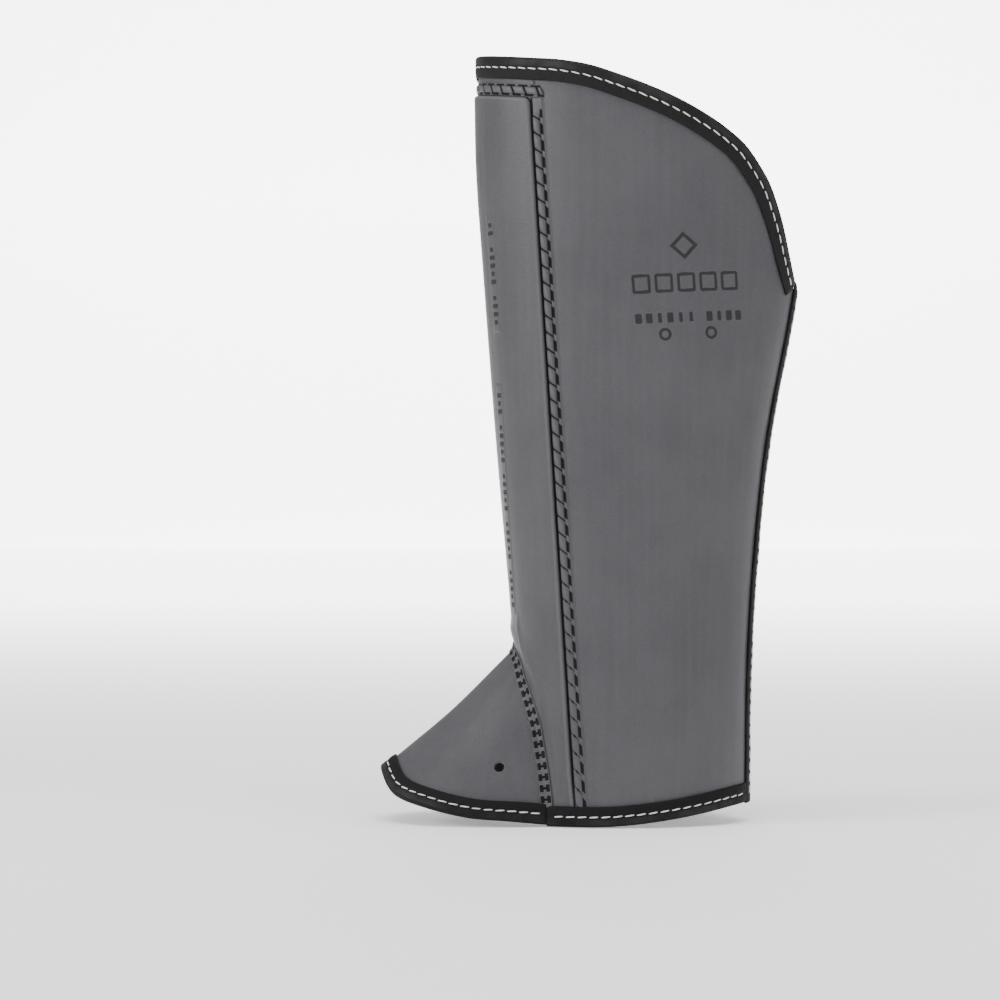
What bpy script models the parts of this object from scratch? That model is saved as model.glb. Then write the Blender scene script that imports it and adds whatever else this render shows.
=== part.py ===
"""Below-knee leg guard for forestry work: a welded laminate wrap with a splint pocket over the shin.

Metres, +Z up, toe towards -X, the wearer's left side towards -Y, standing on its hem at z = 0. The front
holds the splint pocket; two wings fold back from it and close at the rear with hook and loop; an instep flap
is welded on below. Each piece lies on one base skin, given by (share, z, lift): share runs from 0 at the shin
to 1 at the back centre (negative on the inner side), and lift is the distance out from the skin.
"""

import bmesh
import bpy
import numpy as np
from mathutils import Vector

MM = 0.001

# Driving dimensions, in millimetres.
TOP = 420.4
LEVELS = np.array([0, 100, 200, 300, 360, 420.0])
FRONT_X = np.array([-32, -39.4, -47.8, -55.6, -59.7, -60.6])
BACK_X = np.array([87.8, 89.8, 98.4, 115.8, 121, 123.0])
HALF_Y = np.array([48, 49, 52, 56, 57.5, 58.0])
INSTEP_Z, INSTEP_REACH = 94.0, 20.0
SQUARENESS = 0.2

SHELL = (0.0, -1.4)
LINING = (-1.7, -2.7)
SPLINT = (0.3, 1.5)
POCKET_FLANGE, POCKET_RAISED = (1.45, 0.5), (2.8, 1.85)
BINDING_OUT, BINDING_IN = 1.2, -3.9
TOP_BINDING, HEM_BINDING = 12.0, 11.0
THREAD = (1.7, 1.35)
HOOK, LOOP = (-3.1, -4.3), (-4.8, -6.0)
TUCK, OVERLAP = 6.4, 55.0
GAP = 0.4
HOLE, HOLE_U, HOLE_V = 2.75, 0.615, 0.45
ARCH_SPLIT = 0.62
TOP_TRIM = 13.2

# The top edge and the hem, as (share, z) at the outside of the binding.
TOP_EDGE = np.array([
    (0, 420.4), (0.07, 418.4), (0.14, 416.2), (0.22, 413.8), (0.302, 411.4), (0.367, 408.1), (0.43, 403),
    (0.492, 397.5), (0.555, 391.2), (0.619, 383.5), (0.686, 373.9), (0.732, 365.5), (0.767, 356.3),
    (0.8026, 345.4), (0.83, 334), (0.858, 321.5), (0.885, 309), (0.915, 299), (0.95, 291.6), (0.985, 288.6),
    (1.05, 287.5), (1.4, 287.5),
])
HEM = np.array([(0.25, 0), (0.34, 0), (0.42, 0), (0.49, 0.6), (0.566, 2.0), (0.645, 3.9), (0.73, 6.3),
                (0.83, 8.9), (0.9, 9.9), (1, 10.2), (1.4, 10.2)])
# The seam between pocket and instep flap, and the lip of the flap from its nose to the seam.
ARCH = np.array([(0, 94), (0.03, 92), (0.0826, 85.6), (0.1105, 77.4), (0.1385, 70.4), (0.161, 63.6),
                 (0.1893, 54.2), (0.2092, 44), (0.2234, 36.6), (0.2418, 26.8), (0.2657, 13), (0.284, 0.8)])
LIP = np.array([(-114.3, 0, 27.5), (-107.6, -21.5, 16.5), (-90, -37, 10.4), (-67, -43.6, 5.2),
                (-44, -44.4, 3.0), (0, 0, 0.0)])
FOLD = np.array([(-29.5, -43.9, 391.0), (-6.0, -47.6, 11.0)])
# Height of the top edge where the fold meets it, and how steeply the edge falls there.
FOLD_TOP, TOP_SLOPE = 413.4, 0.12

# Where the front's columns stand between the two folds, closest together beside the seam arch.
HALF_COLUMNS = np.array([0, 0.06, 0.12, 0.18, 0.26, 0.34, 0.42, 0.5, 0.56, 0.62, 0.68, 0.74, 0.8, 0.87,
                         0.93, 1])
COLUMNS = np.concatenate([-HALF_COLUMNS[:0:-1], HALF_COLUMNS])

SHARES = np.linspace(-1.45, 1.45, 581)
ROWS = np.arange(-10.0, 431.0, 10)


def smooth(knots, values, at):
    """Cubic Hermite curve through the knots, straight beyond its ends."""
    at = np.asarray(at, float)
    slope = np.gradient(values, knots)
    near = np.clip(at, knots[0], knots[-1])
    k = np.clip(np.searchsorted(knots, near, side="right") - 1, 0, len(knots) - 2)
    step = knots[k + 1] - knots[k]
    u = (near - knots[k]) / step
    rise = (3 - 2 * u) * u * u
    bend = u * (1 - u) * step * ((1 - u) * slope[k] - u * slope[k + 1])
    end = np.where(at < knots[0], slope[0], slope[-1])
    return values[k] + rise * (values[k + 1] - values[k]) + bend + (at - near) * end


def section(angle, z):
    """Outline at height z: x = c - a cos t, y = -b sin t (1 + k cos^2 t) over the front half."""
    reach = INSTEP_REACH * np.clip(1 - z / INSTEP_Z, 0, None) ** 2
    front, back = smooth(LEVELS, FRONT_X, z) - reach, smooth(LEVELS, BACK_X, z)
    square = SQUARENESS * np.clip(1 - z / 400, 0, None) * np.clip(np.cos(angle), 0, None) ** 2
    x = (front + back) / 2 - (back - front) / 2 * np.cos(angle)
    return x, -smooth(LEVELS, HALF_Y, z) * np.sin(angle) * (1 + square)


def arcs():
    """Half the girth at each row, and the angle at each share of it."""
    angle = np.radians(np.linspace(-265, 265, 1061))
    girth, turn = [], []
    for z in ROWS:
        x, y = section(angle, z)
        run = np.concatenate([[0], np.cumsum(np.hypot(np.diff(x), np.diff(y)))])
        run -= np.interp(0, angle, run)
        girth.append(np.interp(np.pi, angle, run))
        turn.append(np.interp(SHARES * girth[-1], run, angle))
    return np.array(girth), np.array(turn)


GIRTH, TURN = arcs()


def half(z):
    return np.interp(z, ROWS, GIRTH)


def angle_at(share, z):
    row = np.clip((z - ROWS[0]) / 10, 0, len(ROWS) - 1.001)
    col = np.clip((share - SHARES[0]) / (SHARES[1] - SHARES[0]), 0, len(SHARES) - 1.001)
    i, j = row.astype(int), col.astype(int)
    p, q = row - i, col - j
    low = TURN[i, j] * (1 - q) + TURN[i, j + 1] * q
    high = TURN[i + 1, j] * (1 - q) + TURN[i + 1, j + 1] * q
    return low * (1 - p) + high * p


def skin(share, z, lift):
    """Points of the base skin, set off along the outline's normal."""
    share, z, lift = np.broadcast_arrays(*(np.asarray(v, float) for v in (share, z, lift)))
    angle = angle_at(share, z)
    x, y = section(angle, z)
    ahead, behind = section(angle + 1e-3, z), section(angle - 1e-3, z)
    dx, dy = ahead[0] - behind[0], ahead[1] - behind[1]
    long = np.hypot(dx, dy)
    return np.stack([x + lift * dy / long, y - lift * dx / long, z], -1)


def fold(z):
    """Share of the skin where the straight fold line passes."""
    part = (z - FOLD[1, 2]) / (FOLD[0, 2] - FOLD[1, 2])
    x = FOLD[1, 0] + part * (FOLD[0, 0] - FOLD[1, 0])
    grid = np.linspace(0.15, 0.45, 61)
    line = [np.interp(a, section(angle_at(grid, np.full(61, b)), b)[0], grid) for a, b in zip(x, z)]
    return np.array(line)


FOLD_Z = np.linspace(-10, 430, 45)
FOLD_SHARE = fold(FOLD_Z)


def fold_at(z):
    return np.interp(z, FOLD_Z, FOLD_SHARE)


def fine_edge(points, run):
    """The smooth curve through an edge's points, closely sampled."""
    at = np.linspace(run[0], run[-1], 400)
    return np.stack([smooth(run, points[:, 0], at), smooth(run, points[:, 1], at)], -1)


ARCH_RUN = np.concatenate([[0], np.cumsum(np.hypot(np.diff(ARCH[:, 0] * 182), np.diff(ARCH[:, 1])))])
TOP_LINE, HEM_LINE = fine_edge(TOP_EDGE, TOP_EDGE[:, 0]), fine_edge(HEM, HEM[:, 0])
HEM_LINE[:, 1] = HEM_LINE[:, 1].clip(0)
ARCH_LINE = fine_edge(ARCH, ARCH_RUN)
LIP[-1] = skin(*ARCH[-1], 0)


def inset(edge, depth, side):
    """The edge moved by depth into the sheet, square to itself; side is -1 below the edge, 1 above it."""
    run = edge[:, 0] * half(edge[:, 1])
    along = np.stack([np.gradient(run), np.gradient(edge[:, 1])], -1)
    along /= np.linalg.norm(along, axis=1)[:, None]
    moved = run - side * along[:, 1] * depth, edge[:, 1] + side * along[:, 0] * depth
    return np.stack([moved[0] / half(moved[1]), moved[1]], -1)


def limit(edge, depth, side, share):
    line = inset(edge, depth, side)
    return np.interp(np.abs(share), line[:, 0], line[:, 1])


def node(name, bm, material):
    bmesh.ops.recalc_face_normals(bm, faces=bm.faces[:])
    mesh = bpy.data.meshes.new(name)
    bm.to_mesh(mesh)
    bm.free()
    mesh.materials.append(material)
    mesh.shade_smooth()
    made = bpy.data.objects.new(name, mesh)
    bpy.context.scene.collection.objects.link(made)
    return made


def place(verts, points):
    for vert, point in zip(verts, points):
        vert.co = point * MM


def plate(name, chart, lifts, columns, rows, material):
    """A grid laid on the chart at the outer lift and extruded to the inner one."""
    bm = bmesh.new()
    bmesh.ops.create_grid(bm, x_segments=columns, y_segments=rows, size=0.5)
    outer = list(bm.verts)
    made = bmesh.ops.extrude_face_region(bm, geom=bm.faces[:])
    inner = [v for v in made["geom"] if isinstance(v, bmesh.types.BMVert)]
    for verts, lift in ((outer, lifts[0]), (inner, lifts[1])):
        uv = np.array([v.co[:2] for v in verts]) + 0.5
        place(verts, chart(uv[:, 0], uv[:, 1], lift))
    return node(name, bm, material)


def swept(name, chart, profile, steps, material):
    """A closed profile of (depth, lift) carried along a path chart(u, depth, lift), capped at both ends."""
    bm = bmesh.new()
    depth, lift = np.array(profile).T
    rings = []
    for u in np.linspace(0, 1, steps + 1):
        ring = [bm.verts.new() for _ in profile]
        place(ring, chart(np.full(len(depth), u), depth, lift))
        rings.append([bm.edges.new((a, b)) for a, b in zip(ring, ring[1:] + ring[:1])])
    for a, b in zip(rings, rings[1:]):
        bmesh.ops.bridge_loops(bm, edges=a + b)
    for ring in (rings[0], rings[-1]):
        bmesh.ops.edgeloop_fill(bm, edges=ring)
    return node(name, bm, material)


def u_profile(width):
    """Tape folded over the raw edge: depth runs inwards from the fold."""
    outer, inner = (BINDING_OUT, 0.3), (BINDING_IN, BINDING_IN + 0.9)
    deep = [0, width / 2, width]
    return ([(d, outer[0]) for d in deep[::-1]] + [(d, inner[0]) for d in deep]
            + [(d, inner[1]) for d in (width, width / 2, 0.9)]
            + [(d, outer[1]) for d in (0.9, width / 2, width)])


def stitch_profile(width):
    middle = width / 2
    return [(middle - 0.5, THREAD[0]), (middle + 0.5, THREAD[0]), (middle + 0.5, THREAD[1]),
            (middle - 0.5, THREAD[1])]


def tuck(share, z):
    """How far the inner wing dives below the outer one, by the distance from the back centre."""
    away = (1 - np.abs(share)) * half(z)
    part = np.clip((48 - away) / 46, 0, 1)
    return np.where(share < 0, TUCK * part * part * (3 - 2 * part), 0)


def wing_end(side):
    """Distance past the back centre where the wing's rear edge lies."""
    return -4.0 if side > 0 else OVERLAP + 4.0


def wing_chart(side, trim):
    """Wing between fold and rear edge; trim is the distance in from top, hem and rear edge."""
    def chart(u, v, lift):
        z = np.full(u.shape, 200.0)
        for _ in range(14):
            near = fold_at(z) + GAP / half(z)
            share = near + u * (1 + (wing_end(side) - trim) / half(z) - near)
            low, high = limit(HEM_LINE, trim, 1, share), limit(TOP_LINE, trim, -1, share)
            z = low + v * (high - low)
        return skin(side * share, z, lift - tuck(side * share, z))
    return chart


def front_chart(trim, reach, rise=0.0):
    """Front between the two folds, above the seam arch; reach is the distance from each fold."""
    def chart(u, v, lift):
        across = np.interp(u, np.linspace(0, 1, len(COLUMNS)), COLUMNS)
        z = np.full(u.shape, 200.0)
        for _ in range(20):
            share = across * (fold_at(z) - reach / half(z))
            arch = limit(ARCH_LINE, -0.6 - rise, -1, share)
            low = np.maximum(arch, limit(HEM_LINE, trim, 1, share))
            high = limit(TOP_LINE, TOP_TRIM if rise else trim, -1, share)
            z = 0.5 * z + 0.5 * (low + v * (high - low))
        return skin(share, z, lift(share, z) if callable(lift) else lift)
    return chart


def edge_chart(edge, direction, side, start, stop):
    """Path along an edge between two shares; depth is measured square to the edge."""
    def chart(u, depth, lift):
        first = start(depth) if callable(start) else start
        share = first + u * (stop - first)
        line = np.concatenate([edge[:0:-1] * [-1, 1], edge])
        along = np.stack([np.gradient(line[:, 0] * half(line[:, 1])), np.gradient(line[:, 1])], -1)
        along /= np.linalg.norm(along, axis=1)[:, None]
        slope = [np.interp(share, line[:, 0], along[:, k]) for k in (0, 1)]
        z = np.interp(share, line[:, 0], line[:, 1]) + direction * slope[0] * depth
        share = side * (share - direction * slope[1] * depth / half(z))
        return skin(share, z, lift - tuck(share, z))
    return chart


def rear_chart(side):
    """Rear edge of a wing, from hem to top; its ends follow the hem and the top edge."""
    def chart(u, depth, lift):
        z = np.full(u.shape, 150.0)
        for _ in range(8):
            share = 1 + (wing_end(side) - depth) / half(z)
            low, high = limit(HEM_LINE, -0.2, 1, share), limit(TOP_LINE, -0.3, -1, share)
            z = low + u * (high - low)
        return skin(side * share, z, lift - tuck(side * share, z))
    return chart


def strip_chart(side, near, width):
    """Hook or loop strip by the back centre; near is its edge's distance past the centre."""
    def chart(u, v, lift):
        z = 24 + v * 236
        share = 1 + (near + u * width) / half(z)
        return skin(side * share, z, lift)
    return chart


def mirrored(run, values, sign):
    """A curve's knots carried over to the other side of its start, with the values' sign there."""
    return np.concatenate([-run[:0:-1], run]), np.concatenate([sign * values[:0:-1], values])


def lip(t):
    """The flap's lower edge, from the nose (t = 0) to the seam on either side (t = -1, 1)."""
    span = np.linspace(0, 1, len(LIP))
    return np.stack([smooth(*mirrored(span, LIP[:, k], (1, -1, 1)[k]), t) for k in range(3)], -1)


def seam(t):
    """The arch where the flap is welded on, from its top (t = 0) to the hem on either side."""
    share, z = (smooth(*mirrored(ARCH_RUN / ARCH_RUN[-1], ARCH[:, k], (-1, 1)[k]), t) for k in (0, 1))
    return skin(share, z, 2.0 * (1 - t * t))


def flap_base(u, v):
    """Instep flap between the lip (v = 0) and the seam (v = 1): a Coons patch over its four edges."""
    one = np.ones_like(u)
    column, across = v[..., None], (u[..., None] + 1) / 2
    leg = 1 - v * (1 - ARCH_SPLIT)
    rows = (1 - column) * lip(u) + column * seam(ARCH_SPLIT * u)
    sides = (1 - across) * seam(-leg) + across * seam(leg)
    corners = ((1 - column) * ((1 - across) * lip(-one) + across * lip(one))
               + column * ((1 - across) * seam(-ARCH_SPLIT * one) + across * seam(ARCH_SPLIT * one)))
    sag = 2.4 * np.sin(np.pi * v) * (1 - u * u) ** 2
    return rows + sides - corners + sag[..., None] * np.array([0.5, 0, -0.5])


def flap(u, v, lift):
    step = 1e-3
    du = flap_base(u + step, v) - flap_base(u - step, v)
    dv = flap_base(u, v + step) - flap_base(u, v - step)
    normal = np.cross(du, dv)
    normal /= np.linalg.norm(normal, axis=-1)[..., None]
    return flap_base(u, v) + np.asarray(lift)[..., None] * normal


def flap_length(u):
    v = np.linspace(0, 1, 25)
    lines = np.stack([flap_base(u, np.full(u.shape, a)) for a in v])
    return np.linalg.norm(np.diff(lines, axis=0), axis=-1).sum(0)


def flap_chart(trim):
    def chart(u, v, lift):
        across = (2 * u - 1) * 0.995
        low = trim / flap_length(across)
        return flap(across, low + v * (0.995 - low), np.full(u.shape, lift))
    return chart


def flap_edge(u, depth, lift):
    across = (2 * u - 1) * 0.995
    return flap(across, depth / flap_length(across), lift)


def pocket_chart(u, v, face):
    """Cover of the splint pocket: a flange along its edge, rising to the raised face (face 0 out, 1 in)."""
    flange, raised = POCKET_FLANGE[face], POCKET_RAISED[face]
    def rise(share, z):
        side = (fold_at(z) - np.abs(share)) * half(z) - 3
        top = limit(TOP_LINE, TOP_TRIM, -1, share) - z
        foot = np.where(np.abs(share) < ARCH[-1, 0], 0.6 * (z - limit(ARCH_LINE, -1.8, -1, share)), z - 12.4)
        part = np.clip((np.minimum(np.minimum(side, top), foot) - 2.0) / 2.5, 0, 1)
        return flange + (raised - flange) * part * part * (3 - 2 * part)
    return front_chart(12.4, 3.0, 1.2)(u, v, rise)


def splint_chart(middle):
    def chart(u, v, lift):
        low, high = 107.0, 388 - 0.1 * abs(middle)
        z = low + v * (high - low)
        return skin((middle + 28 * (u - 0.5)) / half(z), z, lift)
    return chart


def material(name, colour, roughness):
    made = bpy.data.materials.new(name)
    shader = made.node_tree.nodes["Principled BSDF"] if made.node_tree else None
    if shader is None:
        made.use_nodes = True
        shader = made.node_tree.nodes["Principled BSDF"]
    shader.inputs["Base Color"].default_value = (*colour, 1)
    shader.inputs["Roughness"].default_value = roughness
    return made


def body(name, at=(0, 0, 0)):
    made = bpy.data.objects.new(name, None)
    made.location = np.array(at) * MM
    bpy.context.scene.collection.objects.link(made)
    return made


for thing in list(bpy.data.objects):
    bpy.data.objects.remove(thing)

GREY = (0.13, 0.128, 0.135)
BLACK = (0.02, 0.02, 0.021)

PVC = material("pvc_laminate", GREY, 0.42)
COVER = material("pvc_pocket_front", (0.19, 0.188, 0.195), 0.4)
INSIDE = material("lining_cloth", BLACK, 0.95)
TAPE = material("binding_tape", (0.045, 0.045, 0.046), 0.7)
YARN = material("stitching_thread", (0.8, 0.8, 0.78), 0.6)
PLASTIC = material("splint_plastic", (0.75, 0.76, 0.76), 0.35)
HOOKS = material("hook_tape", (0.025, 0.025, 0.026), 0.85)
LOOPS = material("loop_tape", (0.03, 0.03, 0.031), 1.0)


def beside_arch(z):
    """Share just behind the seam arch at a height above the hem."""
    return np.interp(z, ARCH_LINE[::-1, 1], ARCH_LINE[::-1, 0]) + 1.0 / half(z)


def behind_fold(depth):
    """Share on the top edge whose point, moved in square to the edge by depth, lies just behind the fold."""
    z = FOLD_TOP - depth
    return fold_at(z) + (GAP + TOP_SLOPE * depth) / half(z)


def share_at(z, offset):
    return float(fold_at(z) + offset / half(z))


def bound(name, chart, width, steps):
    """A binding tape and its row of stitching."""
    return [swept(name, chart, u_profile(width), steps, TAPE),
            swept(name.replace("binding", "thread"), chart, stitch_profile(width), steps, YARN)]


# Front: shell, lining, splints, pocket cover, bindings.
front = [
    plate("front_shell", front_chart(1.9, GAP), SHELL, 30, 12, PVC),
    plate("front_lining", front_chart(2.4, GAP), LINING, 30, 12, INSIDE),
    plate("pocket_cover", pocket_chart, (0, 1), 30, 22, COVER),
]
for name, middle in (("splint_lateral", 30.5), ("splint_centre", 0), ("splint_medial", -30.5)):
    front.append(plate(name, splint_chart(middle), SPLINT, 4, 12, PLASTIC))
front += bound("top_binding_front", edge_chart(TOP_LINE, -1, 1, -share_at(TOP, -GAP), share_at(TOP, -GAP)),
               TOP_BINDING, 24)
for name, side in (("lateral", 1), ("medial", -1)):
    chart = edge_chart(HEM_LINE, 1, side, beside_arch, share_at(5, -GAP))
    front += bound(f"hem_binding_front_{name}", chart, HEM_BINDING, 4)

# Wings: the same pieces either side, the inner one running on under the outer one.
wings = {}
for name, side in (("lateral", 1), ("medial", -1)):
    inner_edge = 1 + (wing_end(side) - HEM_BINDING - GAP) / float(half(300))
    low_edge = 1 + (wing_end(side) - HEM_BINDING - GAP) / float(half(10))
    columns = 24 if side > 0 else 31
    wings[name] = [
        plate(f"{name}_shell", wing_chart(side, 1.9), SHELL, columns, 10, PVC),
        plate(f"{name}_lining", wing_chart(side, 2.4), LINING, columns, 10, INSIDE),
        *bound(f"{name}_top_binding", edge_chart(TOP_LINE, -1, side, behind_fold, inner_edge),
               TOP_BINDING, columns + 8),
        *bound(f"{name}_hem_binding", edge_chart(HEM_LINE, 1, side, share_at(5, GAP), low_edge),
               HEM_BINDING, columns),
        *bound(f"{name}_rear_binding", rear_chart(side), HEM_BINDING, 16),
    ]
wings["lateral"].append(plate("hook_strip", strip_chart(1, -44.5, 28.0), HOOK, 4, 12, HOOKS))
wings["medial"].append(plate("loop_strip", strip_chart(-1, 16.0, 30.0), LOOP, 4, 12, LOOPS))

# Instep flap, with a punched tie hole through shell and lining on each side.
instep = [
    plate("flap_shell", flap_chart(1.9), SHELL, 26, 8, PVC),
    plate("flap_lining", flap_chart(2.4), LINING, 26, 8, INSIDE),
    *bound("flap_binding", flap_edge, HEM_BINDING, 26),
]
for side in (1, -1):
    at = np.array([HOLE_U * side]), np.array([HOLE_V])
    inner, outer = flap(*at, np.array([-8.0]))[0], flap(*at, np.array([6.0]))[0]
    bm = bmesh.new()
    bmesh.ops.create_cone(bm, cap_ends=True, segments=20, radius1=HOLE * MM, radius2=HOLE * MM, depth=14 * MM)
    tool = node(f"hole_tool_{'inner' if side < 0 else 'outer'}", bm, TAPE)
    tool.location = (inner + outer) / 2 * MM
    tool.rotation_euler = Vector(outer - inner).to_track_quat("Z", "Y").to_euler()
    tool.hide_render, tool.display_type = True, "WIRE"
    for sheet in instep[:2]:
        cut = sheet.modifiers.new(tool.name, "BOOLEAN")
        cut.operation, cut.solver, cut.object = "DIFFERENCE", "EXACT", tool

# Bodies: each wing turns about its fold, the flap about the top of its seam.
AXIS_LOW, AXIS_HIGH = (skin(fold_at(z), z, 1.4) for z in (11.0, 391.0))
MEDIAL = np.array([1, -1, 1])
bodies = {"shin_front": (body("shin_front"), front),
          "lateral_wing": (body("lateral_wing", AXIS_LOW), wings["lateral"]),
          "medial_wing": (body("medial_wing", AXIS_LOW * MEDIAL), wings["medial"]),
          "instep_flap": (body("instep_flap", skin(0, ARCH[0, 1], 2.4)), instep)}
bpy.context.view_layer.update()
for name, (holder, pieces) in bodies.items():
    if name != "shin_front":
        holder.parent = bodies["shin_front"][0]
    for piece in pieces:
        piece.parent = holder
        piece.matrix_parent_inverse = holder.matrix_world.inverted()
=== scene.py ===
"""Below-knee leg guard for forestry work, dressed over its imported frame.

A grey coated laminate is welded round a splint pocket over the shin, with an instep flap welded on below.
Its edges are bound in black tape with white running stitch, and hook and loop close it behind the calf.
"""

import bmesh
import bpy
import numpy as np
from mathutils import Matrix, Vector


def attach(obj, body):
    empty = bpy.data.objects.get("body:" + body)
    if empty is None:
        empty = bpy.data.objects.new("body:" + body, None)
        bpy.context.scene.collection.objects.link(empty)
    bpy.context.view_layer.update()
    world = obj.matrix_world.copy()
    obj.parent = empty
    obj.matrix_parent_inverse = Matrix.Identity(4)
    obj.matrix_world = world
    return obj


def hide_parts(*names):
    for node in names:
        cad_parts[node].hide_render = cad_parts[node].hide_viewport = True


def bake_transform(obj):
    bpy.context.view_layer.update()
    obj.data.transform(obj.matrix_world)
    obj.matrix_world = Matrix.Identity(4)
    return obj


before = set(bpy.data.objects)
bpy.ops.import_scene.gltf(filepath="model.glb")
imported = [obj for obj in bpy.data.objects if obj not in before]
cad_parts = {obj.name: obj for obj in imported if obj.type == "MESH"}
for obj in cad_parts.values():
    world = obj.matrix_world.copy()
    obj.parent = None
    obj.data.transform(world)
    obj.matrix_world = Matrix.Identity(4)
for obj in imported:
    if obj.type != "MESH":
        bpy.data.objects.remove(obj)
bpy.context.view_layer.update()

# ---- Studio -----------------------------------------------------------------------------------------------
# A level camera looks straight at the wearer's left side of the guard from 1.6 m. The guard stands on its hem
# on a pale sheet that sweeps up behind it and glows, faintly under the guard and strongly further back,
# under a broad soft lamp overhead and softer ones either side.

VIEW_DISTANCE = 1.6
VIEW_CENTRE = (-0.0486, 0.1756)
VIEW_WIDTH = 0.5525

lens = bpy.data.cameras.new("camera")
lens.sensor_width = 36
lens.lens = 36 * VIEW_DISTANCE / VIEW_WIDTH
lens.clip_start, lens.clip_end = 0.05, 60
camera = bpy.data.objects.new("camera", lens)
camera.location = (VIEW_CENTRE[0], -VIEW_DISTANCE, VIEW_CENTRE[1])
camera.rotation_euler = (np.pi / 2, 0, 0)
bpy.context.scene.collection.objects.link(camera)
bpy.context.scene.camera = camera

for label, spot, aim, size, power in (
    ("lamp_overhead", (0.1, -0.5, 2.3), (0.0, 0.0, 0.2), 1.7, 40),
    ("lamp_toe_side", (-2.2, -1.0, 1.1), (0.0, 0.0, 0.2), 0.9, 42),
    ("lamp_heel_side", (2.2, -1.3, 1.3), (0.0, 0.0, 0.2), 1.5, 15),
    ("lamp_behind", (0.3, 1.9, 1.7), (0.0, 0.0, 0.2), 1.8, 20),
):
    light = bpy.data.lights.new(label, "AREA")
    light.size, light.energy = size, power
    lamp = bpy.data.objects.new(label, light)
    lamp.location = spot
    lamp.rotation_euler = (Vector(aim) - Vector(spot)).to_track_quat("-Z", "Y").to_euler()
    bpy.context.scene.collection.objects.link(lamp)

sky = bpy.data.worlds.new("sky")
sky.use_nodes = True
sky.node_tree.nodes["Background"].inputs["Color"].default_value = (0.93, 0.93, 0.94, 1)
sky.node_tree.nodes["Background"].inputs["Strength"].default_value = 0.6
bpy.context.scene.world = sky


class Socket:
    """A shader socket that takes part in arithmetic: each operator adds the Math node that does it."""

    def __init__(self, tree, socket):
        self.tree, self.socket = tree, socket

    def node(self, kind, settings=None, out=0, **values):
        """A new node: settings first, then its inputs by name (_ for a space) or by number (n0, n1)."""
        made = self.tree.nodes.new(kind)
        for key, value in (settings or {}).items():
            if key == "stops":
                ramp = made.color_ramp.elements
                while len(ramp) < len(value):
                    ramp.new(1)
                for stop, (place, colour) in zip(ramp, value):
                    stop.position, stop.color = place, colour
            else:
                setattr(made, key, value)
        for key, value in values.items():
            numbered = key[0] == "n" and key[1:].isdigit()
            target = made.inputs[int(key[1:]) if numbered else key.replace("_", " ")]
            if isinstance(value, Socket):
                self.tree.links.new(value.socket, target)
            else:
                target.default_value = value
        return Socket(self.tree, made.outputs[out])

    def maths(self, operation, *values):
        inputs = {f"n{k}": value for k, value in enumerate(values)}
        return self.node("ShaderNodeMath", {"operation": operation}, **inputs)

    def __add__(self, other):
        return self.maths("ADD", self, other)

    def __sub__(self, other):
        return self.maths("SUBTRACT", self, other)

    def __rsub__(self, other):
        return self.maths("SUBTRACT", other, self)

    def __mul__(self, other):
        return self.maths("MULTIPLY", self, other)

    __radd__, __rmul__ = __add__, __mul__

    def smooth(self, low, high):
        """0 below low, 1 above high, smooth between."""
        return self.node("ShaderNodeMapRange", {"interpolation_type": "SMOOTHSTEP"}, Value=self,
                         From_Min=low, From_Max=high)

    def tint(self, dark, light):
        """A colour between dark and light, by this value."""
        return self.node("ShaderNodeMix", {"data_type": "RGBA"}, out=2, n0=self, n6=(*dark, 1),
                         n7=(*light, 1))

    def shade(self, colour, over):
        """This value's share of a plain colour laid over another colour."""
        return self.node("ShaderNodeMix", {"data_type": "RGBA"}, out=2, n0=self, n6=over,
                         n7=(*colour, 1))


def finish_of(name, roughness, **plain):
    """A new material: its Principled shader, and the shader's own Object coordinates to start from."""
    made = bpy.data.materials.new(name)
    made.use_nodes = True
    tree = made.node_tree
    shader = tree.nodes["Principled BSDF"]
    shader.inputs["Roughness"].default_value = roughness
    for key, value in plain.items():
        shader.inputs[key.replace("_", " ")].default_value = value
    place = Socket(tree, tree.nodes.new("ShaderNodeTexCoord").outputs["Object"])

    def wear(**links):
        for key, value in links.items():
            tree.links.new(value.socket, shader.inputs[key.replace("_", " ")])

    return made, place, wear


def noise(place, scale, detail=3.0, rough=0.55, stretch=None):
    """Noise on a place; stretch scales the pattern's axes first."""
    if stretch is not None:
        place = place.node("ShaderNodeMapping", Vector=place, Scale=stretch)
    return place.node("ShaderNodeTexNoise", Vector=place, Scale=scale, Detail=detail, Roughness=rough)


floor_finish, spot, wear = finish_of("floor_paper_glowing", 0.95, Emission_Strength=5.0)
# Painted glow: the sheet's emission rises from faint near the guard to full white about 4 m back.
far = spot.node("ShaderNodeSeparateXYZ", out=1, Vector=spot).smooth(0.2, 4.0)
wear(Base_Color=noise(spot, 3.0).tint((0.9, 0.9, 0.905), (0.92, 0.92, 0.925)),
     Emission_Color=far.tint((0.07, 0.07, 0.07), (1, 1, 1)))
floor_mesh = bpy.data.meshes.new("floor")
turn = np.linspace(0, np.pi / 2, 25)
curve = np.stack([9.5 + 1.5 * np.sin(turn), 1.4996 - 1.5 * np.cos(turn)], -1)
sweep = np.concatenate([[(-6.0, -0.0004)], curve, [(11.0, 3.4)]])
floor_mesh.from_pydata([(x, y, z) for x in (-2.8, 2.8) for y, z in sweep], [],
                       [(k, k + 27, k + 28, k + 1) for k in range(26)])
floor_mesh.shade_smooth()
floor_mesh.materials.append(floor_finish)
floor = bpy.data.objects.new("floor", floor_mesh)
bpy.context.scene.collection.objects.link(floor)

# ---- The form the guard is worked on ----------------------------------------------------------------------
# Every layer is bent round one form, as it would be over a last: a skin of oval outlines, wider and deeper
# towards the knee. A place on it is a share of half the girth (0 at the shin, 1 at the back centre, negative
# on the inner side), a height and a lift off the skin, in millimetres, the same as in the frame.

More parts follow.
